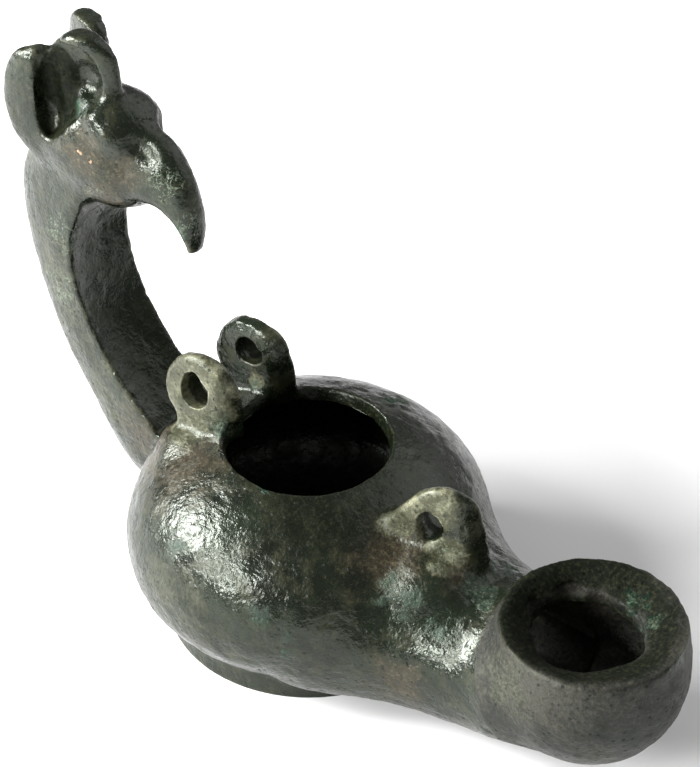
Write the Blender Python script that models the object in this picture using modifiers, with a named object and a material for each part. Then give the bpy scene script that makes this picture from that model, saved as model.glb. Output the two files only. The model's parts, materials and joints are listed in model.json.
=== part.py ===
"""Roman bronze oil lamp: a squat round bowl on a ring foot, with a flared nozzle, three
hanging lugs and a strap handle that rises into a griffin's head. It is one hollow casting."""

import math

import bmesh
import bpy
import numpy as np
from mathutils import Matrix, Vector

# Metres. +X points to the nozzle, +Z is up, and the foot's underside is the plane z = 0.

# Bowl: two half superellipses, one above and one below its widest line.
BOWL_RADIUS = 0.0330
BOWL_MIDDLE = 0.0169
BOWL_RISE = 0.0223
BOWL_DROP = 0.0186
BOWL_POWER = 2.15
WALL = 0.0030

# Mouth: a rounded crest, and a lip that falls inwards to a smaller opening.
CREST_RADIUS = 0.0152
MOUTH_RADIUS = 0.0134
MOUTH_LIP_DEPTH = 0.0040

# Foot: a low ring with a shallow recess inside it, and a flat boss in the recess's middle.
FOOT_RADIUS = 0.0260
FOOT_HEIGHT = 0.0036
FOOT_RING_WIDTH = 0.0052
FOOT_RECESS = 0.0016
FOOT_BOSS_RADIUS = 0.0048
FOOT_BOSS_ROOT = 0.0028
FOOT_BOSS_CLEARANCE = 0.0002
CHAMBER_FLOOR = 0.0044

# Nozzle: a neck, and a round cup whose dished rim slopes down to the wick hole, which lies a
# little nearer to the bowl than the cup's own middle.
CUP_X = 0.0614
CUP_Z = 0.0222
CUP_RADIUS = 0.0169
CUP_POWER = 2.15
RIM_Z = 0.0312
RIM_RADIUS = 0.0156
RIM_LIP = 0.0012
WICK_HOLE_X = 0.0601
WICK_HOLE_RADIUS = 0.0093
WICK_HOLE_DEPTH = 0.0031
RIM_TRIM_HEIGHT = 0.0060
RIM_TRIM_REACH = 0.0030
CHANNEL_WIDTH = 0.0220
CHANNEL_HEIGHT = 0.0160

# Neck: each row is a place along X, a half width, a top, a bottom and the power of its shoulders.
NECK_ROWS = [(0.006, 0.0287, 0.0350, 0.0008, 1.75), (0.018, 0.0268, 0.0345, 0.0008, 1.75),
             (0.026, 0.0218, 0.0312, 0.0010, 1.75), (0.034, 0.0174, 0.0282, 0.0012, 1.75),
             (0.044, 0.0156, 0.0268, 0.0027, 1.80), (0.049, 0.0158, 0.0290, 0.0040, 2.20),
             (0.054, 0.0160, 0.0305, 0.0055, 2.60), (0.0614, 0.0142, 0.0305, 0.0070, 2.60)]
NECK_LOWER_POWER = 3.3

# Handle: a strap with a hollowed front, a little thicker where it becomes the neck.
STRAP_WIDTH = 0.0154
STRAP_FRONT = [(-0.0240, 0.0220), (-0.0335, 0.0305), (-0.0400, 0.0368), (-0.0452, 0.0444),
               (-0.0482, 0.0530), (-0.0484, 0.0612), (-0.0448, 0.0700), (-0.0420, 0.0780)]
STRAP_BACK = [(-0.0240, 0.0068), (-0.0405, 0.0120), (-0.0491, 0.0236), (-0.0557, 0.0345),
              (-0.0606, 0.0455), (-0.0636, 0.0565), (-0.0640, 0.0690), (-0.0592, 0.0800)]
STRAP_HOLLOW = 0.0013

# Griffin's head.
SKULL_CENTRE = (-0.0475, 0.0, 0.0803)
SKULL_RADII = (0.0158, 0.0090, 0.0114)
SKULL_PITCH = 22.0
BEAK_RIDGE = [(-0.0400, 0.0880), (-0.0312, 0.0858), (-0.0262, 0.0806), (-0.0239, 0.0754),
              (-0.0235, 0.0705), (-0.0241, 0.0657)]
BEAK_UNDERSIDE = [(-0.0450, 0.0715), (-0.0370, 0.0722), (-0.0315, 0.0730), (-0.0284, 0.0715),
                  (-0.0266, 0.0690), (-0.0258, 0.0654)]
BEAK_WIDTHS = [0.0158, 0.0126, 0.0098, 0.0080, 0.0066, 0.0044]
BEAK_NARROWING = 0.35
BROW_CENTRE = (-0.0402, -0.0004, 0.0862)
BROW_RADII = (0.0074, 0.0074, 0.0046)
BROW_PITCH = 30.0
EYE_SOCKETS = [(-0.0316, -0.0030, 0.0866), (-0.0330, 0.0048, 0.0846)]
EYE_SOCKET_RADII = (0.0034, 0.0028, 0.0021)
EYE_SOCKET_PITCH = 40.0

# Ears: each is a thick leaf whose outer face is hollowed. Its face is upright, and stands
# close to the middle line in front and flares outwards behind. The rows give a height and the
# leaf's back and front edges there, measured along the face from its middle.
EAR_MIDDLE = (-0.0493, 0.0066)
EAR_FLARE = 20.0
NEAR_EAR = [(0.0755, -0.0062, 0.0010), (0.0785, -0.0096, 0.0034), (0.0820, -0.0114, 0.0060),
            (0.0860, -0.0120, 0.0090), (0.0905, -0.0117, 0.0108), (0.0940, -0.0105, 0.0111),
            (0.0966, -0.0086, 0.0110), (0.0982, -0.0046, 0.0106), (0.0998, -0.0010, 0.0098),
            (0.1012, 0.0006, 0.0084), (0.1022, 0.0024, 0.0066)]
FAR_EAR = [(0.0755, -0.0062, 0.0005), (0.0785, -0.0092, 0.0020), (0.0820, -0.0110, 0.0030),
           (0.0870, -0.0112, 0.0032), (0.0920, -0.0106, 0.0031), (0.0965, -0.0094, 0.0027),
           (0.0985, -0.0078, 0.0015), (0.0998, -0.0058, -0.0006)]
EAR_THICKNESS = 0.0056
EAR_THINNING = 0.15
NEAR_HOLLOW = [(0.0820, -0.0044, -0.0026), (0.0846, -0.0042, -0.0004), (0.0873, -0.0046, 0.0028),
               (0.0896, -0.0052, 0.0062), (0.0920, -0.0057, 0.0078), (0.0950, -0.0060, 0.0078),
               (0.0980, -0.0048, 0.0070), (0.1000, -0.0028, 0.0052)]
FAR_HOLLOW = [(0.0815, -0.0034, -0.0030), (0.0850, -0.0044, -0.0010), (0.0890, -0.0056, 0.0008),
              (0.0930, -0.0066, 0.0010), (0.0960, -0.0058, 0.0006), (0.0980, -0.0046, -0.0006)]
EAR_HOLLOW_DEPTH = 0.0026
# Rounded hollows in the near ear, and the lip in front of them: each is a place along the
# face, outwards from it and by height, then three radii.
EAR_NOTCH = (-0.0040, 0.0, 0.0996, (0.0017, 0.0060, 0.0030))
EAR_PIT = (0.0030, -0.0012, 0.0953, (0.0030, 0.0026, 0.0027))
EAR_CLEFT = (-0.0052, -0.0014, 0.0895, (0.0024, 0.0026, 0.0080))
EAR_LIP = (0.0060, -0.0016, 0.0912, (0.0044, 0.0020, 0.0020))

# Hanging lugs: each is a ring-like arch on a waist, with a hole across it. The middle, face and
# turn place its near face. The rows give a height and the arch's left and right edges there,
# from the waist to the shoulder, between its feet and its crown. The far face drifts from the near one
# by so much on the left, on the right and upwards. The hole is a middle and a size.
NEAR_LUG = {"middle": -0.0184, "face": -0.0098, "turn": 0.0, "thickness": (0.0036, 0.0066),
            "chamfer": 0.0012, "crown": (0.0010, 0.0521), "drift": (0.0006, 0.0024, -0.0003),
            "feet": ((-0.0054, 0.0300), (0.0068, 0.0342)),
            "far_feet": ((-0.0050, 0.0315), (0.0060, 0.0348)),
            "rows": [(0.0354, -0.0048, 0.0066), (0.0388, -0.0070, 0.0065),
                     (0.0436, -0.0071, 0.0068), (0.0476, -0.0055, 0.0064), (0.0506, -0.0030, 0.0046)],
            "hole": (0.0008, 0.0442), "hole_size": (0.0068, 0.0090), "lean": 0.0004}
FAR_LUG = {"middle": -0.0187, "face": 0.0046, "turn": 0.0, "thickness": (0.0038, 0.0066),
           "chamfer": 0.0012, "crown": (0.0002, 0.0500), "drift": (0.0002, 0.0026, 0.0008),
           "feet": ((-0.0068, 0.0298), (0.0066, 0.0345)),
           "far_feet": ((-0.0066, 0.0280), (0.0092, 0.0345)),
           "rows": [(0.0362, -0.0076, 0.0063), (0.0398, -0.0086, 0.0066),
                    (0.0434, -0.0079, 0.0064), (0.0468, -0.0060, 0.0056), (0.0492, -0.0030, 0.0036)],
           "hole": (0.0009, 0.0444), "hole_size": (0.0068, 0.0066), "lean": 0.0004}
FRONT_LUG = {"middle": 0.0326, "face": -0.0034, "turn": 16.0, "thickness": (0.0032, 0.0062),
             "chamfer": 0.0016, "crown": (-0.0017, 0.0444), "drift": (0.0012, 0.0038, 0.0002),
             "feet": ((-0.0136, 0.0332), (0.0050, 0.0250)),
             "far_feet": ((-0.0124, 0.0340), (0.0094, 0.0250)),
             "rows": [(0.0352, -0.0112, 0.0037),
                      (0.0392, -0.0078, 0.0030), (0.0425, -0.0050, 0.0017)],
             "hole": (-0.0026, 0.0362), "hole_size": (0.0068, 0.0080), "lean": 0.0017}

# Low swellings of the body where the lugs stand: a middle and three radii.
SWELLINGS = [((-0.0175, -0.0088, 0.0300), (0.0095, 0.0078, 0.0064)),
             ((-0.0180, 0.0080, 0.0300), (0.0095, 0.0080, 0.0062)),
             ((0.0290, -0.0030, 0.0240), (0.0110, 0.0105, 0.0082))]

# A hole's unevenness: waves round its edge, each a count, a height and a phase.
HOLE_WAVES = [(2, 0.03, 0.6), (3, 0.03, 2.1)]

# Surface: the bowl and the neck flow into each other, then the whole casting is rounded over
# at a finer scale and faceted.
BODY_GRAIN = 0.0012
BODY_SOFTENING = 24
CAST_GRAIN = 0.0006
CAST_SOFTENING = 7
FACETS = 9100
BELOW_GROUND = 0.0010

BRONZE_COLOUR = (0.055, 0.060, 0.050, 1.0)


def clear_scene():
    for thing in list(bpy.data.objects):
        bpy.data.objects.remove(thing, do_unlink=True)


def new_collection(name):
    collection = bpy.data.collections.new(name)
    bpy.context.scene.collection.children.link(collection)
    return collection


def add_object(name, work, collection):
    """Turn a bmesh into an object of the collection."""
    mesh = bpy.data.meshes.new(name)
    bmesh.ops.recalc_face_normals(work, faces=work.faces)
    work.to_mesh(mesh)
    work.free()
    thing = bpy.data.objects.new(name, mesh)
    collection.objects.link(thing)
    return thing


def superellipse(angle, power):
    """Point of the unit superellipse at an angle, as (cosine side, sine side)."""
    across = math.copysign(abs(math.cos(angle)) ** (2 / power), math.cos(angle))
    along = math.copysign(abs(math.sin(angle)) ** (2 / power), math.sin(angle))
    return across, along


def steps_through(rows, count):
    """Smooth open curve (Catmull-Rom) through rows of numbers, as evenly indexed samples."""
    rows = [np.array(row, dtype=float) for row in rows]
    knots = [2 * rows[0] - rows[1]] + rows + [2 * rows[-1] - rows[-2]]
    samples = []
    for index in range(count):
        place = index / (count - 1) * (len(rows) - 1)
        span = min(int(place), len(rows) - 2)
        t = place - span
        a, b, c, d = knots[span:span + 4]
        samples.append(0.5 * (2 * b + (c - a) * t + (2 * a - 5 * b + 4 * c - d) * t ** 2
                              + (3 * b - a - 3 * c + d) * t ** 3))
    return samples


def through(points, count):
    """The same curve through points, as vectors."""
    return [Vector(sample) for sample in steps_through(points, count)]


def turned(name, profile, collection, steps=72):
    """Solid turned about Z from a profile that runs from the top of the axis to its bottom."""
    work = bmesh.new()
    corners = [work.verts.new((radius, 0.0, height)) for radius, height in profile]
    for upper, lower in zip(corners, corners[1:]):
        work.edges.new((upper, lower))
    mesh = bpy.data.meshes.new(name)
    work.to_mesh(mesh)
    work.free()
    thing = bpy.data.objects.new(name, mesh)
    collection.objects.link(thing)
    screw = thing.modifiers.new("Turn", "SCREW")
    screw.axis = "Z"
    screw.steps = steps
    screw.render_steps = steps
    screw.use_merge_vertices = True
    screw.merge_threshold = 0.00001
    return thing


def loft(name, rings, collection):
    """Closed solid through rings of equal length, capped at both ends."""
    work = bmesh.new()
    loops = [[work.verts.new(point) for point in ring] for ring in rings]
    for first, second in zip(loops, loops[1:]):
        for index in range(len(first)):
            after = (index + 1) % len(first)
            work.faces.new((first[index], first[after], second[after], second[index]))
    work.faces.new(loops[0])
    work.faces.new(loops[-1])
    return add_object(name, work, collection)


def ellipsoid(name, centre, radii, collection, pitch=0.0, yaw=0.0):
    """Ellipsoid, pitched about Y and then turned about Z."""
    work = bmesh.new()
    place = (Matrix.Translation(centre) @ Matrix.Rotation(yaw, 4, "Z")
             @ Matrix.Rotation(pitch, 4, "Y") @ Matrix.Diagonal((*radii, 1.0)))
    bmesh.ops.create_uvsphere(work, u_segments=32, v_segments=20, radius=1.0, matrix=place)
    return add_object(name, work, collection)


def bowl_height(radius):
    """Height of the bowl's upper surface at a radius."""
    share = min(radius / BOWL_RADIUS, 1.0) ** BOWL_POWER
    return BOWL_MIDDLE + BOWL_RISE * (1 - share) ** (1 / BOWL_POWER)


def bowl_curve(radius, rise, drop, start_radius, end_radius, count=30):
    """Profile points of a bowl from a radius near its top, round its side, to one near its bottom."""
    start = math.acos((start_radius / radius) ** (BOWL_POWER / 2))
    end = -math.acos((end_radius / radius) ** (BOWL_POWER / 2))
    points = []
    for index in range(count):
        angle = start + (end - start) * index / (count - 1)
        across, along = superellipse(angle, BOWL_POWER)
        height = along * (rise if along > 0 else drop)
        points.append((radius * across, BOWL_MIDDLE + height))
    return points


def make_bowl(collection):
    top = [(0.0, bowl_height(0.0))]
    side = bowl_curve(BOWL_RADIUS, BOWL_RISE, BOWL_DROP, CREST_RADIUS / 2, 0.0)
    return turned("bowl", top + side, collection)


def make_foot(collection):
    profile = [(0.0, 2 * FOOT_HEIGHT), (FOOT_RADIUS - 0.0010, 2 * FOOT_HEIGHT), (FOOT_RADIUS, FOOT_HEIGHT),
               (FOOT_RADIUS + 0.0002, -BELOW_GROUND), (0.0, -BELOW_GROUND)]
    return turned("foot", profile, collection)


def make_chamber(collection):
    """Cutter for the oil chamber and the mouth above it."""
    radius = BOWL_RADIUS - WALL
    crest = bowl_height(CREST_RADIUS)
    side = bowl_curve(radius, BOWL_RISE - WALL, BOWL_MIDDLE - CHAMBER_FLOOR, CREST_RADIUS + 0.0018, 0.0)
    mouth = [(0.0, crest + 0.0100), (CREST_RADIUS + 0.0012, crest + 0.0100),
             (CREST_RADIUS - 0.0003, crest + 0.0004), (MOUTH_RADIUS, crest - MOUTH_LIP_DEPTH)]
    return turned("chamber", mouth + side, collection)


def make_foot_recess(collection):
    radius = FOOT_RADIUS - FOOT_RING_WIDTH
    profile = [(0.0, FOOT_RECESS), (radius - 0.0008, FOOT_RECESS), (radius, -3 * BELOW_GROUND),
               (0.0, -3 * BELOW_GROUND)]
    return turned("foot_recess", profile, collection)


def make_foot_boss(collection):
    profile = [(0.0, FOOT_BOSS_ROOT), (FOOT_BOSS_RADIUS + 0.0006, FOOT_BOSS_ROOT),
               (FOOT_BOSS_RADIUS, FOOT_BOSS_CLEARANCE), (0.0, FOOT_BOSS_CLEARANCE)]
    return turned("foot_boss", profile, collection, 36)


def oval_ring(x, half_width, top, bottom, upper_power, lower_power, count=40):
    """Ring across X from two half superellipses."""
    middle = (top + bottom) / 2
    ring = []
    for index in range(count):
        angle = 2 * math.pi * index / count
        across, along = superellipse(angle, upper_power if angle < math.pi else lower_power)
        ring.append((x, half_width * across, middle + (top - bottom) / 2 * along))
    return ring


def make_neck(collection):
    """Neck between the bowl and the nozzle's cup, almost as wide as the cup."""
    rings = []
    for x, half_width, top, bottom, power in steps_through(NECK_ROWS, 31):
        rings.append(oval_ring(x, half_width, top, bottom, power, NECK_LOWER_POWER))
    return loft("neck", rings, collection)


def cup_curve(radius, start, count=25):
    """Profile points of a cup, from an angle above its widest line to the bottom of its axis."""
    points = []
    for index in range(count):
        angle = start + (-math.pi / 2 - start) * index / (count - 1)
        across, along = superellipse(angle, CUP_POWER)
        points.append((radius * across, CUP_Z + radius * along))
    return points


def make_cup(collection):
    """Nozzle's cup, made taller than its rim; the dish trims it."""
    above = RIM_Z + RIM_TRIM_HEIGHT
    rim = [(0.0, above), (RIM_RADIUS, above), (RIM_RADIUS, RIM_Z)]
    cup = turned("cup", rim + cup_curve(CUP_RADIUS, math.radians(6)), collection)
    cup.location.x = CUP_X
    return cup


def make_wick_hole(collection):
    """Cutter that trims the rim and dishes it, with the wick hole and the hollow of the cup."""
    lip = RIM_RADIUS - RIM_LIP
    wide = RIM_RADIUS + RIM_TRIM_REACH
    sections = [(CUP_X, wide, RIM_Z + 2 * RIM_TRIM_HEIGHT), (CUP_X, wide, RIM_Z + 0.0001)]
    for index in range(9):
        share = index / 8
        sections.append((CUP_X + (WICK_HOLE_X - CUP_X) * share, lip + (WICK_HOLE_RADIUS - lip) * share,
                         RIM_Z - WICK_HOLE_DEPTH * share ** 1.2))
    sections.append((WICK_HOLE_X, WICK_HOLE_RADIUS, RIM_Z - WICK_HOLE_DEPTH - WALL))
    sections += [(CUP_X, radius + 0.0001, height) for radius, height in
                 cup_curve(CUP_RADIUS - WALL, math.radians(8))]
    rings = []
    for x, radius, height in sections:
        angles = [2 * math.pi * index / 64 for index in range(64)]
        rings.append([(x + radius * math.cos(angle), radius * math.sin(angle), height) for angle in angles])
    return loft("wick_hole", rings, collection)


def make_channel(collection):
    """Cutter for the passage from the oil chamber to the cup."""
    half = CHANNEL_WIDTH / 2
    middle = 0.0150
    rings = []
    for x in (0.016, 0.024, 0.034, 0.045, 0.056):
        rings.append(oval_ring(x, half, middle + CHANNEL_HEIGHT / 2, middle - CHANNEL_HEIGHT / 2, 2.2, 2.2))
    return loft("channel", rings, collection)


def strap_section(front, back, width, count=14):
    """Ring from a front edge point to a back one: hollowed in front, rounded behind."""
    across = back - front
    ring = []
    for index in range(count + 1):
        side = 1 - 2 * index / count
        depth = STRAP_HOLLOW / across.length * (1 - side ** 2)
        point = front + across * depth
        ring.append((point.x, side * width / 2, point.y))
    for index in range(1, 2 * count):
        angle = math.pi * (1 + index / (2 * count))
        side, rear = superellipse(angle, 3.0)
        point = front + across * (0.06 + 0.94 * abs(rear))
        ring.append((point.x, side * width / 2, point.y))
    return ring


def make_strap(collection):
    fronts = through(STRAP_FRONT, 37)
    backs = through(STRAP_BACK, 37)
    rings = [strap_section(front, back, STRAP_WIDTH) for front, back in zip(fronts, backs)]
    return loft("strap", rings, collection)


def make_beak(collection):
    ridges = through(BEAK_RIDGE, 31)
    undersides = through(BEAK_UNDERSIDE, 31)
    widths = through([(width, 0.0) for width in BEAK_WIDTHS], 31)
    rings = []
    for ridge, underside, width in zip(ridges, undersides, widths):
        middle = (ridge + underside) / 2
        ring = []
        for index in range(28):
            across, along = superellipse(2 * math.pi * index / 28, 2.5)
            point = middle + (ridge - underside) / 2 * along
            narrowing = 1 - BEAK_NARROWING * (along + 1) / 2
            ring.append((point.x, width.x / 2 * across * narrowing, point.y))
        rings.append(ring)
    return loft("beak", rings, collection)


def ear_point(side, along, outwards, height):
    """Point given along an ear's face towards its front, outwards from the face, and by height."""
    flare = math.radians(EAR_FLARE)
    x = EAR_MIDDLE[0] + along * math.cos(flare) + outwards * math.sin(flare)
    y = EAR_MIDDLE[1] - along * math.sin(flare) + outwards * math.cos(flare)
    return (x, side * y, height)


def leaf(name, rows, side, inner, outer, collection):
    """Upright leaf through the rows, bulging from an inner to an outer distance off the face.
    Towards the top the inner distance shrinks."""
    rings = []
    for height, back, front in through(rows, 4 * len(rows) - 3):
        risen = max(0.0, (height - rows[0][0]) / (rows[-1][0] - rows[0][0]))
        middle = (inner * (1 - EAR_THINNING * risen ** 0.5) + outer) / 2
        half = outer - middle
        ring = []
        for index in range(24):
            across, along = superellipse(2 * math.pi * index / 24, 2.4)
            ring.append(ear_point(side, (back + front) / 2 + (front - back) / 2 * across,
                                  middle + half * along, height))
        rings.append(ring)
    return loft(name, rings, collection)


def ear_form(name, form, collection):
    """Ellipsoid placed by the near ear's face."""
    along, outwards, height, radii = form
    return ellipsoid(name, ear_point(-1, along, outwards, height), radii, collection,
                     yaw=math.radians(EAR_FLARE))


def make_head(collection):
    """Forms of the griffin's head, its hollows left out."""
    return [ellipsoid("skull", SKULL_CENTRE, SKULL_RADII, collection, pitch=math.radians(SKULL_PITCH)),
            make_beak(collection),
            ellipsoid("brow", BROW_CENTRE, BROW_RADII, collection, pitch=math.radians(BROW_PITCH)),
            leaf("near_ear", NEAR_EAR, -1, -EAR_THICKNESS, 0.0, collection),
            leaf("far_ear", FAR_EAR, 1, -EAR_THICKNESS, 0.0, collection)]


def make_head_hollows(collection):
    """Cutters for the ears' hollows and the eye sockets."""
    depth = EAR_HOLLOW_DEPTH
    hollows = [leaf("near_hollow", NEAR_HOLLOW, -1, -depth, depth, collection),
               leaf("far_hollow", FAR_HOLLOW, 1, -depth, depth, collection),
               ear_form("ear_notch", EAR_NOTCH, collection), ear_form("ear_pit", EAR_PIT, collection),
               ear_form("ear_cleft", EAR_CLEFT, collection)]
    for middle in EYE_SOCKETS:
        hollows.append(ellipsoid("eye_socket", middle, EYE_SOCKET_RADII, collection,
                                 pitch=math.radians(EYE_SOCKET_PITCH)))
    return hollows


def lug_point(lug, along, across, height):
    """Point given along a lug's upright face, across from it towards +Y, and by height."""
    turn = math.radians(lug["turn"])
    return (lug["middle"] + along * math.cos(turn) - across * math.sin(turn),
            lug["face"] + along * math.sin(turn) + across * math.cos(turn), height)


def lug_outlines(lug):
    """The near and far outlines of a lug, from its left foot over the crown to its right foot."""
    left, right, up = lug["drift"]
    crown = lug["crown"]
    rows = lug["rows"]
    near = [(row[1], row[0]) for row in rows] + [crown] + [(row[2], row[0]) for row in rows[::-1]]
    far = [(row[1] + left, row[0] + up) for row in rows]
    far += [(crown[0] + (left + right) / 2, crown[1] + up)]
    far += [(row[2] + right, row[0] + up) for row in rows[::-1]]
    outlines = []
    for outline, feet in ((near, lug["feet"]), (far, lug["far_feet"])):
        outlines.append(through([feet[0]] + outline + [feet[1]], 37))
    return outlines


def make_lug(name, lug, collection):
    """Arch lofted from its near outline to its far one, chamfered at both faces. It is thicker
    towards its feet."""
    near, far = lug_outlines(lug)
    base = min(foot[1] for foot in lug["feet"])
    top = lug["crown"][1]
    thin, thick = lug["thickness"]
    middle = Vector(lug["hole"])
    rings = []
    for share, inset in ((0.0, 1.0), (0.22, 0.0), (0.78, 0.0), (1.0, 1.0)):
        shrink = 1 - inset * lug["chamfer"] / (top - middle.y)
        ring = []
        for nearer, farther in zip(near, far):
            point = middle + (nearer.lerp(farther, share) - middle) * shrink
            depth = thick + (thin - thick) * (point.y - base) / (top - base)
            ring.append(lug_point(lug, point.x, depth * share, point.y))
        rings.append(ring)
    return loft(name, rings, collection)


def make_lug_hole(name, lug, collection):
    """Uneven oval cutter through a lug, leaning along its face as it goes through."""
    width, height = lug["hole_size"]
    rings = []
    for share in (-0.35, 0.0, 1.0, 1.3):
        ring = []
        for index in range(24):
            angle = 2 * math.pi * index / 24
            reach = 1 + sum(size * math.sin(count * angle + phase) for count, size, phase in HOLE_WAVES)
            ring.append(lug_point(lug, lug["hole"][0] + width / 2 * reach * math.cos(angle)
                                  + lug["lean"] * share, lug["thickness"][1] * share,
                                  lug["hole"][1] + height / 2 * reach * math.sin(angle)))
        rings.append(ring)
    return loft(name, rings, collection)


def make_ground(collection):
    """Cutter for everything below the plane that the foot stands on."""
    work = bmesh.new()
    place = Matrix.Translation((0.0, 0.0, -0.010)) @ Matrix.Diagonal((0.200, 0.100, 0.020, 1.0))
    bmesh.ops.create_cube(work, size=1.0, matrix=place)
    return add_object("ground", work, collection)


def blend(thing, grain, passes):
    """Turn a thing's skin into an even mesh and soften it, which fills its inner corners."""
    remesh = thing.modifiers.new("Skin", "REMESH")
    remesh.mode = "VOXEL"
    remesh.voxel_size = grain
    soften = thing.modifiers.new("Soften", "SMOOTH")
    soften.factor = 0.5
    soften.iterations = passes


def combine(thing, others, operation):
    for other in others:
        boolean = thing.modifiers.new(f"{operation.title()} {other.name}", "BOOLEAN")
        boolean.operation = operation
        boolean.solver = "EXACT"
        boolean.object = other
        other.hide_render = True
        other.display_type = "WIRE"


def bronze():
    material = bpy.data.materials.new("patinated_bronze")
    material.use_nodes = True
    shader = material.node_tree.nodes["Principled BSDF"]
    shader.inputs["Base Color"].default_value = BRONZE_COLOUR
    shader.inputs["Metallic"].default_value = 0.6
    shader.inputs["Roughness"].default_value = 0.45
    return material


def build():
    clear_scene()
    forms = new_collection("lamp_forms")
    cutters = new_collection("lamp_cutters")
    lamp_parts = new_collection("roman_oil_lamp")

    lamp = make_bowl(lamp_parts)
    lamp.name = "lamp"
    swellings = [ellipsoid("swelling", middle, radii, forms) for middle, radii in SWELLINGS]
    combine(lamp, [make_neck(forms), make_cup(forms)] + swellings, "UNION")
    blend(lamp, BODY_GRAIN, BODY_SOFTENING)
    combine(lamp, [make_foot(forms), make_strap(forms)] + make_head(forms), "UNION")
    hollows = [make_chamber(cutters), make_channel(cutters), make_wick_hole(cutters)]
    combine(lamp, hollows + make_head_hollows(cutters), "DIFFERENCE")
    lugs = {"near_lug": NEAR_LUG, "far_lug": FAR_LUG, "front_lug": FRONT_LUG}
    combine(lamp, [ear_form("ear_lip", EAR_LIP, forms)], "UNION")
    combine(lamp, [make_lug(name, lug, forms) for name, lug in lugs.items()], "UNION")
    combine(lamp, [make_lug_hole(f"{name}_hole", lug, cutters) for name, lug in lugs.items()], "DIFFERENCE")

    blend(lamp, CAST_GRAIN, CAST_SOFTENING)
    facets = lamp.modifiers.new("Facets", "DECIMATE")
    facets.ratio = 0.5
    combine(lamp, [make_ground(cutters), make_foot_recess(cutters)], "DIFFERENCE")
    combine(lamp, [make_foot_boss(forms)], "UNION")

    skin = lamp.modifiers["Facets"]
    skin.show_viewport = False
    skin.show_render = False
    bpy.context.view_layer.update()
    full = lamp.evaluated_get(bpy.context.evaluated_depsgraph_get()).data
    triangles = sum(len(face.vertices) - 2 for face in full.polygons)
    skin.ratio = FACETS / triangles
    skin.show_viewport = True
    skin.show_render = True
    lamp.data.materials.append(bronze())
    return lamp


build()
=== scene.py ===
import json
import math

import bmesh
import bpy
import numpy as np
from mathutils import Matrix, Vector

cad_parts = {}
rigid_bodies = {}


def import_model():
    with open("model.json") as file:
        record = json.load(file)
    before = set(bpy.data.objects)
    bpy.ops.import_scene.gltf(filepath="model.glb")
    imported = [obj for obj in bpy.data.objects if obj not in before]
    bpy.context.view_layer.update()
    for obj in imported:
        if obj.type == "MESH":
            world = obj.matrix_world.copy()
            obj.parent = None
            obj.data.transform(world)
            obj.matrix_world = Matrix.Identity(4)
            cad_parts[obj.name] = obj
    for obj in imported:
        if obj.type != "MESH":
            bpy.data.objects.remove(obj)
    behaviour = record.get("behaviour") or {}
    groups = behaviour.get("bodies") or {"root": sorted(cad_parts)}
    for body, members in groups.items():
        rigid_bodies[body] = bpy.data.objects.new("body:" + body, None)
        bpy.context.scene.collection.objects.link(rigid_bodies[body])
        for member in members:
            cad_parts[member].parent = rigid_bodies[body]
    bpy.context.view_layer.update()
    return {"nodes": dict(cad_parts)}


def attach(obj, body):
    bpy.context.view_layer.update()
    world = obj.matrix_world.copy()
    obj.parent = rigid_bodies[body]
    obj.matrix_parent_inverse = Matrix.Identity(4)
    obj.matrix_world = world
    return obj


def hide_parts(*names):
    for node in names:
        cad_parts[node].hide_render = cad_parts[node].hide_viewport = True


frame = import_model()
print("frame loaded:", sorted(frame["nodes"]))

# metres; +X points to the nozzle, +Z is up, and the foot stands on z = 0
scene = bpy.context.scene
workshop = bpy.data.collections.new("workshop")  # forms and cutters, until the casting is one mesh
scene.collection.children.link(workshop)

# how finely the forms are drawn: points round them and rings along them
fine = {"turned": 96, "ballRound": 48, "ballUp": 32, "oval": 56, "neck": 41, "cup": 32, "wickHole": 80,
        "strapRound": 20, "strap": 57, "head": 36, "beak": 41, "earRow": 6, "lug": 49, "lugHole": 48}


def asMesh(name, work):
    mesh = bpy.data.meshes.new(name)
    work.to_mesh(mesh)
    work.free()
    return mesh


def addTo(group, name, data):
    thing = bpy.data.objects.new(name, data)
    group.objects.link(thing)
    return thing


def addForm(name, work):
    bmesh.ops.recalc_face_normals(work, faces=work.faces)
    return addTo(workshop, name, asMesh(name, work))


def evenAngles(count):  # once round
    return [2 * math.pi * index / count for index in range(count)]


def superellipse(angle, power):  # point of the unit curve, as (cosine side, sine side)
    across = math.copysign(abs(math.cos(angle)) ** (2 / power), math.cos(angle))
    along = math.copysign(abs(math.sin(angle)) ** (2 / power), math.sin(angle))
    return across, along


def smoothCurve(rows, count):  # open Catmull-Rom curve through the rows
    knots = [2 * rows[0] - rows[1]] + rows + [2 * rows[-1] - rows[-2]]
    samples = []
    for index in range(count):
        place = index / (count - 1) * (len(rows) - 1)
        span = min(int(place), len(rows) - 2)
        t = place - span
        a, b, c, d = knots[span:span + 4]
        samples.append(0.5 * (2 * b + (c - a) * t + (2 * a - 5 * b + 4 * c - d) * t ** 2
                              + (3 * b - a - 3 * c + d) * t ** 3))
    return samples


def smoothThrough(points, count):
    return smoothCurve([Vector(point) for point in points], count)


def smoothSteps(rows, count):  # the same for rows of any length
    return smoothCurve([np.array(row, float) for row in rows], count)


def loft(name, rings):  # closed solid through rings of equal length
    work = bmesh.new()
    loops = [[work.verts.new(point) for point in ring] for ring in rings]
    for lower, upper in zip(loops, loops[1:]):
        for index in range(len(lower)):
            after = (index + 1) % len(lower)
            work.faces.new((lower[index], lower[after], upper[after], upper[index]))
    work.faces.new(loops[0])
    work.faces.new(loops[-1])
    return addForm(name, work)


sliver = 0.0001  # too small to see; it closes turned forms at their axis and keeps faces apart


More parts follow.
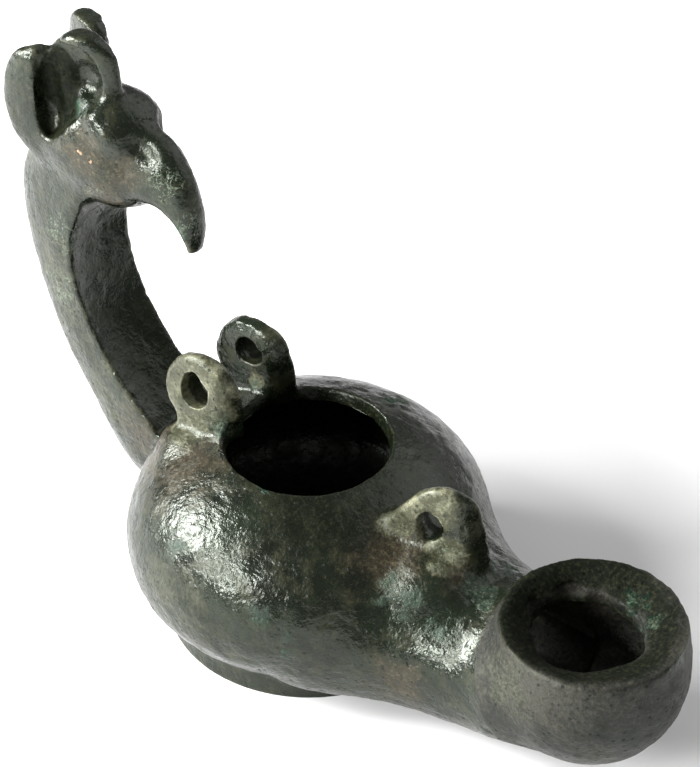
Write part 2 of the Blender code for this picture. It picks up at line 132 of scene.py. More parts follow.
def turned(name, profile, centreX=0.0):  # pairs of radius and height, taken round an axis
    closed = [(sliver, profile[0][1])] + profile
    if profile[-1][0] > sliver:
        closed.append((sliver, profile[-1][1]))
    rings = []
    for radius, height in closed:
        rings.append([(centreX + radius * math.cos(angle), radius * math.sin(angle), height)
                      for angle in evenAngles(fine["turned"])])
    return loft(name, rings)


def ellipsoid(name, centre, radii, pitch=0.0, yaw=0.0):
    work = bmesh.new()
    place = (Matrix.Translation(centre) @ Matrix.Rotation(yaw, 4, "Z") @ Matrix.Rotation(pitch, 4, "Y")
             @ Matrix.Diagonal((*radii, 1.0)))
    bmesh.ops.create_uvsphere(work, u_segments=fine["ballRound"], v_segments=fine["ballUp"],
                              radius=1.0, matrix=place)
    return addForm(name, work)


def settled(thing):  # what the modifiers give, as a plain mesh on the same object
    graph = bpy.context.evaluated_depsgraph_get()
    mesh = bpy.data.meshes.new_from_object(thing.evaluated_get(graph), depsgraph=graph)
    thing.modifiers.clear()
    thing.data = mesh
    return thing


def combine(thing, others, operation):
    for other in others:
        boolean = thing.modifiers.new(operation.title(), "BOOLEAN")
        boolean.operation = operation
        boolean.solver = "EXACT"
        boolean.object = other


def joined(things):  # all the things as one mesh on the first
    first = things[0]
    work = bmesh.new()
    for thing in things:
        work.from_mesh(settled(thing).data)
    first.data = asMesh(first.name, work)
    return first


def reskin(thing, grain, passes):  # an even skin, softened
    remesh = thing.modifiers.new("Skin", "REMESH")
    remesh.mode = "VOXEL"
    remesh.voxel_size = grain
    soften = thing.modifiers.new("Soften", "SMOOTH")
    soften.factor = 0.5
    soften.iterations = passes
    return settled(thing)


def readPoints(mesh):
    points = np.empty(3 * len(mesh.vertices))
    mesh.vertices.foreach_get("co", points)
    return points.reshape(-1, 3)


def soften(thing, places, passes):  # only near the places, each a middle and a reach
    points = readPoints(thing.data)
    weights = np.zeros(len(points))
    for middle, reach in places:
        distance = np.linalg.norm(points - np.array(middle), axis=1) / reach
        weights = np.maximum(weights, np.clip(2 * (1 - distance), 0.0, 1.0))
    group = thing.vertex_groups.new(name="soft")
    for index in np.nonzero(weights)[0]:
        group.add([int(index)], float(weights[index]), "REPLACE")
    smooth = thing.modifiers.new("Local", "SMOOTH")
    smooth.factor = 0.5
    smooth.iterations = passes
    smooth.vertex_group = "soft"
    settled(thing)
    thing.vertex_groups.clear()
    return thing


class Tree:  # a short way to write a node tree
    def __init__(self, group):
        self.group = group
        self.ids = {}

    def input(self, name, kind, value=None):
        socket = self.group.interface.new_socket(name, in_out="INPUT", socket_type=kind)
        if value is not None:
            socket.default_value = value
        self.ids[name] = socket.identifier

    def output(self, name, kind):
        self.group.interface.new_socket(name, in_out="OUTPUT", socket_type=kind)

    def node(self, kind, settings=None, **links):
        made = self.group.nodes.new(kind)
        for key, value in (settings or {}).items():
            setattr(made, key, value)
        self.wire(made, links)
        return made

    def wire(self, made, links):  # a key is a socket's name, or an i and the socket's number
        for key, value in links.items():
            numbered = key[0] == "i" and key[1:].isdigit()
            socket = made.inputs[int(key[1:]) if numbered else key]
            if isinstance(value, bpy.types.NodeSocket):
                self.group.links.new(value, socket)
            else:
                socket.default_value = value

    def math(self, operation, *values, clamp=False):
        made = self.node("ShaderNodeMath", {"operation": operation, "use_clamp": clamp})
        self.wire(made, {f"i{index}": value for index, value in enumerate(values)})
        return made.outputs[0]

    def times(self, product, *values):
        for value in values:
            product = self.math("MULTIPLY", product, value)
        return product

    def noise(self, place, scale, detail, roughness=0.55, distortion=0.0, seed=0.0):
        made = self.node("ShaderNodeTexNoise", {"noise_dimensions": "4D"}, Vector=place, W=seed,
                         Scale=scale, Detail=detail, Roughness=roughness, Distortion=distortion)
        return made.outputs[0]

    def between(self, value, low, high, start=0.0, end=1.0):  # eases from start to end
        made = self.node("ShaderNodeMapRange", {"interpolation_type": "SMOOTHSTEP"})
        self.wire(made, {"i0": value, "i1": low, "i2": high, "i3": start, "i4": end})
        return made.outputs[0]

    def mix(self, share, first, second):
        made = self.node("ShaderNodeMix", {"data_type": "RGBA"})
        self.wire(made, {"i0": share, "i6": first, "i7": second})
        return made.outputs[2]


def vesselTree():  # a turned form between two half superellipses
    tree = Tree(bpy.data.node_groups.new("turnedVessel", "GeometryNodeTree"))
    tree.output("Geometry", "NodeSocketGeometry")
    for name in ("Radius", "Middle", "Rise", "Drop", "Centre X"):
        tree.input(name, "NodeSocketFloat", 0.0)
    tree.input("Power", "NodeSocketFloat", 2.0)
    tree.input("Segments", "NodeSocketInt", 96)
    tree.input("Rings", "NodeSocketInt", 64)
    given = tree.node("NodeGroupInput").outputs
    ball = tree.node("GeometryNodeMeshUVSphere", Segments=given["Segments"], Rings=given["Rings"],
                     Radius=1.0)
    place = tree.node("GeometryNodeInputPosition").outputs[0]
    split = tree.node("ShaderNodeSeparateXYZ", Vector=place).outputs
    squares = [tree.times(split[axis], split[axis]) for axis in "XY"]
    around = tree.math("SQRT", tree.math("ADD", *squares))
    safe = tree.math("MAXIMUM", around, 1e-6)
    share = tree.math("DIVIDE", 2.0, given["Power"])
    radius = tree.times(tree.math("POWER", safe, share), given["Radius"])
    spread = tree.math("DIVIDE", radius, safe)
    lift = tree.math("POWER", tree.math("ABSOLUTE", split["Z"]), share)
    upper = tree.math("GREATER_THAN", split["Z"], 0.0)
    rise = tree.times(lift, given["Rise"], upper)
    drop = tree.times(lift, given["Drop"], tree.math("SUBTRACT", 1.0, upper))
    x = tree.math("MULTIPLY_ADD", split["X"], spread, given["Centre X"])
    z = tree.math("ADD", tree.math("SUBTRACT", rise, drop), given["Middle"])
    y = tree.times(split["Y"], spread)
    moved = tree.node("ShaderNodeCombineXYZ", X=x, Y=y, Z=z)
    shaped = tree.node("GeometryNodeSetPosition", Geometry=ball.outputs["Mesh"],
                       Position=moved.outputs[0])
    real = tree.node("GeometryNodeRealizeInstances", Geometry=shaped.outputs[0])
    finish = tree.node("GeometryNodeSetMaterial", Geometry=real.outputs[0])
    tree.node("NodeGroupOutput", Geometry=finish.outputs[0])
    return tree


vessel = vesselTree()


def turnedVessel(name, sizes):
    form = addTo(workshop, name, bpy.data.meshes.new(name))
    made = form.modifiers.new("Vessel", "NODES")
    made.node_group = vessel.group
    for key, value in sizes.items():
        made[vessel.ids[key]] = value
    return settled(form)


# the bowl with its mouth and foot
bowl = {
    "radius": 0.033, "middle": 0.0169, "rise": 0.0223, "drop": 0.0186, "power": 2.15, "wall": 0.003,
    "chamberFloor": 0.0044,
    "crestRadius": 0.0152, "mouthRadius": 0.0134, "lipDepth": 0.004, "lipFlare": 0.0012,
    "lipInset": 0.0003, "lipRise": 0.0004, "mouthHeadroom": 0.01, "mouthDepth": 0.004,
    "footRadius": 0.026, "footHeight": 0.0036, "footShoulder": 0.001, "footSplay": 0.0002,
    "footRingWidth": 0.0052, "footRecess": 0.0016, "recessDraft": 0.0008, "belowGround": 0.001,
    "bossRadius": 0.0048, "bossDraft": 0.0006, "bossRoot": 0.0028, "bossClearance": 0.0002,
}


def bowlHeight(radius):
    share = min(radius / bowl["radius"], 1.0) ** bowl["power"]
    return bowl["middle"] + bowl["rise"] * (1 - share) ** (1 / bowl["power"])


def makeVessel(name, wall, drop):
    return turnedVessel(name, {"Radius": bowl["radius"] - wall, "Middle": bowl["middle"],
                               "Rise": bowl["rise"] - wall, "Drop": drop, "Power": bowl["power"]})


def makeMouth():
    crest = bowlHeight(bowl["crestRadius"])
    top = crest + bowl["mouthHeadroom"]
    throat = crest - bowl["lipDepth"]
    bottom = throat - bowl["mouthDepth"]
    return turned("mouth", [(bowl["crestRadius"] + bowl["lipFlare"], top),
                            (bowl["crestRadius"] - bowl["lipInset"], crest + bowl["lipRise"]),
                            (bowl["mouthRadius"], throat), (bowl["mouthRadius"], bottom)])


def makeFoot():
    radius = bowl["footRadius"]
    height = bowl["footHeight"]
    return turned("foot", [(radius - bowl["footShoulder"], 2 * height), (radius, height),
                           (radius + bowl["footSplay"], -bowl["belowGround"])])


def makeFootRecess():
    radius = bowl["footRadius"] - bowl["footRingWidth"]
    return turned("footRecess", [(radius - bowl["recessDraft"], bowl["footRecess"]),
                                 (radius, -3 * bowl["belowGround"])])


def makeFootBoss():
    return turned("footBoss", [(bowl["bossRadius"] + bowl["bossDraft"], bowl["bossRoot"]),
                               (bowl["bossRadius"], bowl["bossClearance"])])


# the nozzle: neck, cup, dished rim and wick hole
nozzle = {
    "cupX": 0.0614, "cupZ": 0.0222, "cupRadius": 0.0169, "cupPower": 2.15,
    "cupShoulder": 6.0, "innerShoulder": 8.0,  # degrees above the widest line
    "rimZ": 0.0312, "rimRadius": 0.0156, "rimLip": 0.0012,
    "holeX": 0.0601, "holeRadius": 0.0093, "holeDepth": 0.0031, "dishSteps": 12, "dishCurve": 1.2,
    # along the neck: place, half width, top, bottom, and how square its shoulders are
    "neckRows": [(0.006, 0.0287, 0.035, 0.0008, 1.75), (0.018, 0.0268, 0.0345, 0.0008, 1.75),
                 (0.026, 0.0218, 0.0312, 0.001, 1.75), (0.034, 0.0174, 0.0282, 0.0012, 1.75),
                 (0.044, 0.0156, 0.0268, 0.0027, 1.8), (0.049, 0.0158, 0.029, 0.004, 2.2),
                 (0.054, 0.016, 0.0305, 0.0055, 2.6), (0.0614, 0.0142, 0.0305, 0.007, 2.6)],
    "neckUnderPower": 3.3, "trimHeight": 0.006, "trimReach": 0.003,
    "waveGrowth": 3, "holeWaves": [(3, 0.045, 0.0), (4, 0.025, 0.9), (7, 0.02, 1.0)],
    # bites out of the hole's edge: middle and radii
    "bites": [((0.0515, -0.0008, 0.029), (0.0024, 0.0022, 0.0042)),
              ((0.0533, 0.0047, 0.028), (0.0026, 0.003, 0.0038))],
    "channelWidth": 0.022, "channelHeight": 0.016, "channelMiddle": 0.015, "channelPower": 2.2,
    "channelPlaces": (0.016, 0.026, 0.036, 0.046, 0.056),
}


def ovalRing(x, halfWidth, top, bottom, upperPower, lowerPower):
    middle = (top + bottom) / 2
    ring = []
    for angle in evenAngles(fine["oval"]):
        across, along = superellipse(angle, upperPower if angle < math.pi else lowerPower)
        ring.append((x, halfWidth * across, middle + (top - bottom) / 2 * along))
    return ring


def makeNeck():
    rings = []
    for x, halfWidth, top, bottom, power in smoothSteps(nozzle["neckRows"], fine["neck"]):
        rings.append(ovalRing(x, halfWidth, top, bottom, power, nozzle["neckUnderPower"]))
    return loft("neck", rings)


def cupCurve(radius, start):  # from an angle above the widest line to the bottom of the axis
    points = []
    for index in range(fine["cup"]):
        angle = start + (-math.pi / 2 - start) * index / (fine["cup"] - 1)
        across, along = superellipse(angle, nozzle["cupPower"])
        points.append((max(radius * across, sliver), nozzle["cupZ"] + radius * along))
    return points


def waves(heights, angle):  # an uneven edge's share of its radius, from counts, heights and phases
    return sum(height * math.sin(count * angle + phase) for count, height, phase in heights)


def makeCup():  # taller than its rim, which the dish then trims
    above = nozzle["rimZ"] + nozzle["trimHeight"]
    side = [(nozzle["rimRadius"], above), (nozzle["rimRadius"], nozzle["rimZ"])]
    below = cupCurve(nozzle["cupRadius"], math.radians(nozzle["cupShoulder"]))
    return turned("cup", side + below, nozzle["cupX"])


def makeWickHole():  # the dished rim, the wick hole and the hollow below it
    cupX, holeX, rimZ = nozzle["cupX"], nozzle["holeX"], nozzle["rimZ"]
    lip = nozzle["rimRadius"] - nozzle["rimLip"]
    wide = nozzle["rimRadius"] + nozzle["trimReach"]
    # each section has a place, a radius, a height and a share of the hole's waves
    sections = [(cupX, wide, rimZ + 2 * nozzle["trimHeight"], 0.0), (cupX, wide, rimZ + sliver, 0.0)]
    for index in range(nozzle["dishSteps"] + 1):
        share = index / nozzle["dishSteps"]
        sections.append((cupX + (holeX - cupX) * share, lip + (nozzle["holeRadius"] - lip) * share,
                         rimZ - nozzle["holeDepth"] * share ** nozzle["dishCurve"],
                         share ** nozzle["waveGrowth"]))
    sections.append((holeX, nozzle["holeRadius"], rimZ - nozzle["holeDepth"] - bowl["wall"], 1.0))
    inner = cupCurve(nozzle["cupRadius"] - bowl["wall"], math.radians(nozzle["innerShoulder"]))
    sections += [(cupX, radius + sliver, height, 0.0) for radius, height in inner]
    rings = []
    for x, radius, height, share in sections:
        ring = []
        for angle in evenAngles(fine["wickHole"]):
            reach = radius * (1 + share * waves(nozzle["holeWaves"], angle))
            ring.append((x + reach * math.cos(angle), reach * math.sin(angle), height))
        rings.append(ring)
    return loft("wickHole", rings)


def makeChannel():
    half = nozzle["channelWidth"] / 2
    top = nozzle["channelMiddle"] + nozzle["channelHeight"] / 2
    bottom = nozzle["channelMiddle"] - nozzle["channelHeight"] / 2
    powers = 2 * [nozzle["channelPower"]]
    return loft("channel", [ovalRing(x, half, top, bottom, *powers) for x in nozzle["channelPlaces"]])


# the handle strap; its front and back lines are (x, z) in the middle plane
strap = {
    "width": 0.0154, "hollow": 0.0013, "backPower": 3.0, "sideShare": 0.06,
    "front": [(-0.024, 0.022), (-0.0335, 0.0305), (-0.04, 0.0368), (-0.0452, 0.0444),
              (-0.0482, 0.053), (-0.0484, 0.0612), (-0.0448, 0.07), (-0.042, 0.078)],
    "back": [(-0.024, 0.0068), (-0.0405, 0.012), (-0.0491, 0.0236), (-0.0557, 0.0345),
             (-0.0606, 0.0455), (-0.0636, 0.0565), (-0.064, 0.069), (-0.0592, 0.08)],
}


def strapSection(front, back, width):  # hollowed in front, rounded behind
    across = back - front
    count = fine["strapRound"]
    ring = []
    for index in range(count + 1):
        side = 1 - 2 * index / count
        point = front + across * (strap["hollow"] / across.length * (1 - side ** 2))
        ring.append((point.x, side * width / 2, point.y))
    for index in range(1, 2 * count):
        side, rear = superellipse(math.pi * (1 + index / (2 * count)), strap["backPower"])
        point = front + across * (strap["sideShare"] + (1 - strap["sideShare"]) * abs(rear))
        ring.append((point.x, side * width / 2, point.y))
    return ring


def makeStrap():
    fronts = smoothThrough(strap["front"], fine["strap"])
    backs = smoothThrough(strap["back"], fine["strap"])
    return loft("strap", [strapSection(*ends, strap["width"]) for ends in zip(fronts, backs)])


# the griffin's head
head = {
    "skullCentre": (-0.0475, 0.0, 0.0803), "skullRadii": (0.0158, 0.009, 0.0114), "pitch": 22.0,
    "beakRidge": [(-0.04, 0.088), (-0.0312, 0.0858), (-0.0262, 0.0806), (-0.0239, 0.0754),
                  (-0.0235, 0.0705), (-0.0241, 0.0657)],
    "beakUnderside": [(-0.045, 0.0715), (-0.037, 0.0722), (-0.0315, 0.073), (-0.0284, 0.0715),
                      (-0.0266, 0.069), (-0.0258, 0.0654)],
    "beakWidths": [0.0158, 0.0126, 0.0098, 0.008, 0.0066, 0.0044],
    "beakNarrowing": 0.35, "beakPower": 2.5,
    "browCentre": (-0.0402, -0.0004, 0.0862), "browRadii": (0.0074, 0.0074, 0.0046), "browPitch": 30.0,
    "nearSocket": (-0.0322, -0.005, 0.0852), "farSocket": (-0.033, 0.0056, 0.0846),
    "socketRadii": (0.0044, 0.003, 0.0028), "socketPitch": 40.0,
}

# each row of an ear is a height, and the leaf's back and front edges there along its face
ear = {
    "middle": (-0.0493, 0.0066), "flare": 20.0, "thickness": 0.0056, "thinning": 0.15, "power": 2.4,
    "hollowDepth": 0.0032,
    "near": [(0.0755, -0.0062, 0.001), (0.0785, -0.0096, 0.0034), (0.082, -0.0114, 0.006),
             (0.086, -0.012, 0.009), (0.0905, -0.0117, 0.0108), (0.094, -0.0105, 0.0111),
             (0.0966, -0.0086, 0.011), (0.0982, -0.0046, 0.0106), (0.0998, -0.001, 0.0098),
             (0.1012, 0.0006, 0.0084), (0.1022, 0.0024, 0.0066)],
    "far": [(0.0755, -0.0062, 0.0005), (0.0785, -0.0092, 0.002), (0.082, -0.011, 0.003),
            (0.087, -0.0112, 0.0032), (0.092, -0.0106, 0.0031), (0.0965, -0.0094, 0.0027),
            (0.0985, -0.0078, 0.0015), (0.0998, -0.0058, -0.0006)],
    "nearHollow": [(0.082, -0.0034, -0.001), (0.0846, -0.0038, 0.001), (0.0873, -0.0042, 0.0036),
                   (0.0896, -0.0044, 0.0064), (0.092, -0.0046, 0.0078), (0.095, -0.0046, 0.0078),
                   (0.098, -0.004, 0.0068), (0.1, -0.0028, 0.0048)],
    "farHollow": [(0.0815, -0.0034, -0.003), (0.085, -0.0044, -0.001), (0.089, -0.0056, 0.0008),
                  (0.093, -0.0066, 0.001), (0.096, -0.0058, 0.0006), (0.098, -0.0046, -0.0006)],
    # rounded hollows and lumps in the near ear: along its face, outwards, height, and radii
    "notch": (-0.003, 0.0, 0.0996, (0.0017, 0.006, 0.0026)),
    "pit": (0.004, -0.0014, 0.0932, (0.0036, 0.0027, 0.0038)),
    "cleft": (-0.0026, -0.0014, 0.0884, (0.0022, 0.0026, 0.0076)),
    "lip": (0.006, -0.002, 0.0886, (0.004, 0.0022, 0.0018)),
}


def makeBeak():
    ridges = smoothThrough(head["beakRidge"], fine["beak"])
    undersides = smoothThrough(head["beakUnderside"], fine["beak"])
    widths = smoothThrough([(width, 0.0) for width in head["beakWidths"]], fine["beak"])
    rings = []
    for ridge, underside, width in zip(ridges, undersides, widths):
        middle = (ridge + underside) / 2
        ring = []
        for angle in evenAngles(fine["head"]):
            across, along = superellipse(angle, head["beakPower"])
            point = middle + (ridge - underside) / 2 * along
            narrowing = 1 - head["beakNarrowing"] * (along + 1) / 2
            ring.append((point.x, width.x / 2 * across * narrowing, point.y))
        rings.append(ring)
    return loft("beak", rings)


def earPoint(side, along, outwards, height):
    flare = math.radians(ear["flare"])
    x = ear["middle"][0] + along * math.cos(flare) + outwards * math.sin(flare)
    y = ear["middle"][1] - along * math.sin(flare) + outwards * math.cos(flare)
    return (x, side * y, height)


def leaf(name, rows, side, inner, outer):  # an upright leaf that thins towards its top
    rings = []
    for height, back, front in smoothThrough(rows, fine["earRow"] * (len(rows) - 1) + 1):
        risen = max(0.0, (height - rows[0][0]) / (rows[-1][0] - rows[0][0]))
        middle = (inner * (1 - ear["thinning"] * risen ** 0.5) + outer) / 2
        ring = []
        for angle in evenAngles(fine["head"]):
            across, along = superellipse(angle, ear["power"])
            ring.append(earPoint(side, (back + front) / 2 + (front - back) / 2 * across,
                                 middle + (outer - middle) * along, height))
        rings.append(ring)
    return loft(name, rings)


def makeHead():
    pitch, browPitch = math.radians(head["pitch"]), math.radians(head["browPitch"])
    return [ellipsoid("skull", head["skullCentre"], head["skullRadii"], pitch=pitch), makeBeak(),
            ellipsoid("brow", head["browCentre"], head["browRadii"], pitch=browPitch),
            leaf("nearEar", ear["near"], -1, -ear["thickness"], 0.0),
            leaf("farEar", ear["far"], 1, -ear["thickness"], 0.0)]


def makeSockets():
    pitch = math.radians(head["socketPitch"])
    return [ellipsoid("socket", head[name], head["socketRadii"], pitch=pitch)
            for name in ("nearSocket", "farSocket")]


def earLump(name):
    along, outwards, height, radii = ear[name]
    return ellipsoid(name, earPoint(-1, along, outwards, height), radii, yaw=math.radians(ear["flare"]))


def makeEarHollows():
    depth = ear["hollowDepth"]
    return [leaf("nearHollow", ear["nearHollow"], -1, -depth, depth),
            leaf("farHollow", ear["farHollow"], 1, -depth, depth),
            earLump("notch"), earLump("pit"), earLump("cleft")]


# each lug is a ring-like arch on a waist; its rows give a height and the left and right edges
# there, along the lug's near face, and its far face drifts from them by so much left, right and up
nearLug = {
    "middle": -0.0184, "face": -0.0098, "turn": 0.0, "thickness": (0.0036, 0.0066),
    "feet": ((-0.0054, 0.03), (0.0068, 0.0342)), "farFeet": ((-0.005, 0.0315), (0.006, 0.0348)),
    "rows": [(0.0354, -0.0048, 0.0066), (0.0388, -0.007, 0.0065),
             (0.0436, -0.0071, 0.0068), (0.0476, -0.0055, 0.0064), (0.0506, -0.003, 0.0046)],
    "crown": (0.001, 0.0521), "drift": (0.0006, 0.0024, -0.0003),
    "hole": (0.0004, 0.0444), "holeSize": (0.0056, 0.008), "holeTilt": 8.0, "lean": 0.001,
}
farLug = {
    "middle": -0.0187, "face": 0.0046, "turn": 0.0, "thickness": (0.0038, 0.0066),
    "feet": ((-0.0068, 0.0298), (0.0066, 0.0345)), "farFeet": ((-0.0066, 0.028), (0.0092, 0.0345)),
    "rows": [(0.0362, -0.0076, 0.0063), (0.0398, -0.0086, 0.0066),
             (0.0434, -0.0079, 0.0064), (0.0468, -0.006, 0.0056), (0.0492, -0.003, 0.0036)],
    "crown": (0.0002, 0.05), "drift": (0.0002, 0.0026, 0.0008),
    "hole": (0.0007, 0.0447), "holeSize": (0.0058, 0.0054), "holeTilt": 0.0, "lean": 0.0013,
}
frontLug = {
    "middle": 0.0326, "face": -0.0034, "turn": 16.0, "thickness": (0.0032, 0.0062),
    "feet": ((-0.0136, 0.0332), (0.005, 0.025)), "farFeet": ((-0.0124, 0.034), (0.0094, 0.025)),
    "rows": [(0.0352, -0.0112, 0.0037),
             (0.0392, -0.0078, 0.003), (0.0425, -0.005, 0.0017)],
    "crown": (-0.0017, 0.0444), "drift": (0.0012, 0.0038, 0.0002),
    "hole": (-0.0026, 0.0362), "holeSize": (0.0044, 0.0062), "holeTilt": -10.0, "lean": 0.001,
}
lugs = [nearLug, farLug, frontLug]
lugChamfer = 0.0012
lugSections = [(0.0, 1.0), (0.22, 0.0), (0.78, 0.0), (1.0, 1.0)]  # shares of thickness and chamfer
holeSections = (-0.35, 0.0, 0.5, 1.0, 1.3)  # shares of the thickness, clear of both faces
holeWander = [(2, 0.06, 0.6), (3, 0.05, 2.1), (5, 0.02, 0.9)]  # count, height, phase


def lugPoint(lug, along, across, height):
    turn = math.radians(lug["turn"])
    return (lug["middle"] + along * math.cos(turn) - across * math.sin(turn),
            lug["face"] + along * math.sin(turn) + across * math.cos(turn), height)


def makeLug(lug):  # chamfered; the skin's softening rounds it over
    left, right, up = lug["drift"]
    crown, feet, farFeet = lug["crown"], lug["feet"], lug["farFeet"]
    base = min(foot[1] for foot in feet)
    thin, thick = lug["thickness"]
    near = [feet[0]] + [(row[1], row[0]) for row in lug["rows"]] + [crown]
    near += [(row[2], row[0]) for row in lug["rows"][::-1]] + [feet[1]]
    far = [farFeet[0]] + [(row[1] + left, row[0] + up) for row in lug["rows"]]
    far += [(crown[0] + (left + right) / 2, crown[1] + up)]
    far += [(row[2] + right, row[0] + up) for row in lug["rows"][::-1]] + [farFeet[1]]
    rings = []
    outline = list(zip(smoothThrough(near, fine["lug"]), smoothThrough(far, fine["lug"])))
    for share, inset in lugSections:
        shrink = 1 - inset * lugChamfer / (crown[1] - lug["hole"][1])
        ring = []
        for nearer, farther in outline:
            point = nearer + (farther - nearer) * share
            along = lug["hole"][0] + (point.x - lug["hole"][0]) * shrink
            height = lug["hole"][1] + (point.y - lug["hole"][1]) * shrink
            # thicker towards its feet
            depth = thick + (thin - thick) * (height - base) / (crown[1] - base)
            ring.append(lugPoint(lug, along, depth * share, height))
        rings.append(ring)
    return loft("lug", rings)


def makeLugHole(lug):  # an uneven hole that leans a little as it goes through
    width, height = lug["holeSize"]
    tilt = math.radians(lug["holeTilt"])
    rings = []
    for share in holeSections:
        ring = []
        for angle in evenAngles(fine["lugHole"]):
            uneven = 1 + waves(holeWander, angle)
            across = width / 2 * uneven * math.cos(angle)
            upwards = height / 2 * uneven * math.sin(angle)
            along = (lug["hole"][0] + across * math.cos(tilt) + upwards * math.sin(tilt)
                     + lug["lean"] * share)
            level = lug["hole"][1] + upwards * math.cos(tilt) - across * math.sin(tilt)
            ring.append(lugPoint(lug, along, lug["thickness"][1] * share, level))
        rings.append(ring)
    return loft("lugHole", rings)


# low swellings where the lugs stand: middle and radii
swellings = [((-0.0175, -0.0088, 0.03), (0.0095, 0.0078, 0.0064)),
             ((-0.018, 0.008, 0.03), (0.0095, 0.008, 0.0062)),
             ((0.029, -0.003, 0.024), (0.011, 0.0105, 0.0082))]


groundSize = (0.2, 0.1, 0.02)


def makeGround():  # cuts the foot flat
    work = bmesh.new()
    place = Matrix.Translation((0.0, 0.0, -groundSize[2] / 2)) @ Matrix.Diagonal((*groundSize, 1.0))
    bmesh.ops.create_cube(work, size=1.0, matrix=place)
    return addForm("ground", work)


casting = {
    "bodyGrain": 0.001, "bodySoftening": 30, "formGrain": 0.0006,
    "skinGrain": 0.00042, "skinSoftening": 3, "mostTriangles": 192000,
    "proudest": 0.00006, "evening": 4, "sharpest": 60.0,
    # where inner corners are filled and edges worn: middles and reaches, then a count of passes
    "worn": [([((-0.04, -0.004, 0.086), 0.017), ((-0.047, -0.01, 0.094), 0.016),
               ((-0.046, 0.008, 0.094), 0.016), ((-0.03, 0.0, 0.08), 0.012)], 12),
             ([((-0.043, -0.007, 0.0885), 0.009), ((-0.035, -0.004, 0.0845), 0.007)], 25),
             ([((-0.047, -0.008, 0.09), 0.0085), ((-0.05, -0.006, 0.084), 0.008),
               ((-0.044, -0.005, 0.095), 0.006)], 14),
             ([((-0.048, -0.008, 0.074), 0.013), ((-0.054, -0.006, 0.078), 0.01),
               ((-0.048, 0.008, 0.074), 0.013), ((-0.04, 0.0, 0.0715), 0.007)], 60),
             ([((-0.0235, -0.01, 0.0345), 0.0075), ((-0.013, -0.009, 0.035), 0.007),
               ((-0.024, 0.004, 0.0345), 0.007), ((-0.014, 0.007, 0.0355), 0.0065),
               ((0.02, -0.008, 0.0335), 0.0075), ((0.027, -0.005, 0.0305), 0.007),
               ((0.0365, -0.002, 0.0275), 0.007), ((0.037, 0.004, 0.028), 0.0065)], 45),
             ([((0.067, -0.014, 0.031), 0.01), ((0.074, -0.006, 0.031), 0.009)], 70)],
}


def castLamp():
    lamp = makeVessel("lampCasting", 0.0, bowl["drop"])
    raised = [ellipsoid("swelling", *swelling) for swelling in swellings]
    combine(lamp, [makeNeck(), makeCup()] + raised, "UNION")
    reskin(lamp, casting["bodyGrain"], casting["bodySoftening"])
    print("bowl, neck and cup are one body")
    reskin(joined([lamp, makeFoot(), makeStrap()] + makeHead()), casting["formGrain"], 0)
    chamber = makeVessel("chamber", bowl["wall"], bowl["middle"] - bowl["chamberFloor"])
    mouth, channel, wickHole = makeMouth(), makeChannel(), makeWickHole()
    nearSocket, farSocket = makeSockets()
    nearHollow, farHollow, notch, pit, cleft = makeEarHollows()
    nearBite, farBite = (ellipsoid("bite", *bite) for bite in nozzle["bites"])
    # cutters that don't touch one another cut together
    rounds = [[chamber, wickHole, nearHollow, farSocket], [mouth, channel, farHollow, pit, nearSocket],
              [notch, nearBite], [cleft, farBite]]
    combine(lamp, [joined(cutters) for cutters in rounds], "DIFFERENCE")
    print("vessel is hollow")
    reskin(joined([lamp, earLump("lip")] + [makeLug(lug) for lug in lugs]), casting["skinGrain"], 0)
    combine(lamp, [joined([makeLugHole(lug) for lug in lugs])], "DIFFERENCE")
    reskin(lamp, casting["skinGrain"], casting["skinSoftening"])
    for places, passes in casting["worn"]:
        soften(lamp, places, passes)
    print("casting joined:", len(lamp.data.polygons), "faces")
    return lamp


def trimmed(lamp):  # within its triangles, flat below, with its foot's recess and boss
    triangles = sum(len(face.vertices) - 2 for face in lamp.data.polygons)
    fewer = lamp.modifiers.new("Fewer", "DECIMATE")
    fewer.ratio = min(1.0, casting["mostTriangles"] / triangles)
    combine(lamp, [makeGround(), makeFootRecess()], "DIFFERENCE")
    combine(lamp, [makeFootBoss()], "UNION")
    settled(lamp)
    lamp.data.shade_smooth()
    lamp.data.set_sharp_from_angle(angle=math.radians(casting["sharpest"]))
    print("trimmed:", len(lamp.data.polygons), "faces")
    return lamp


lamp = trimmed(castLamp())


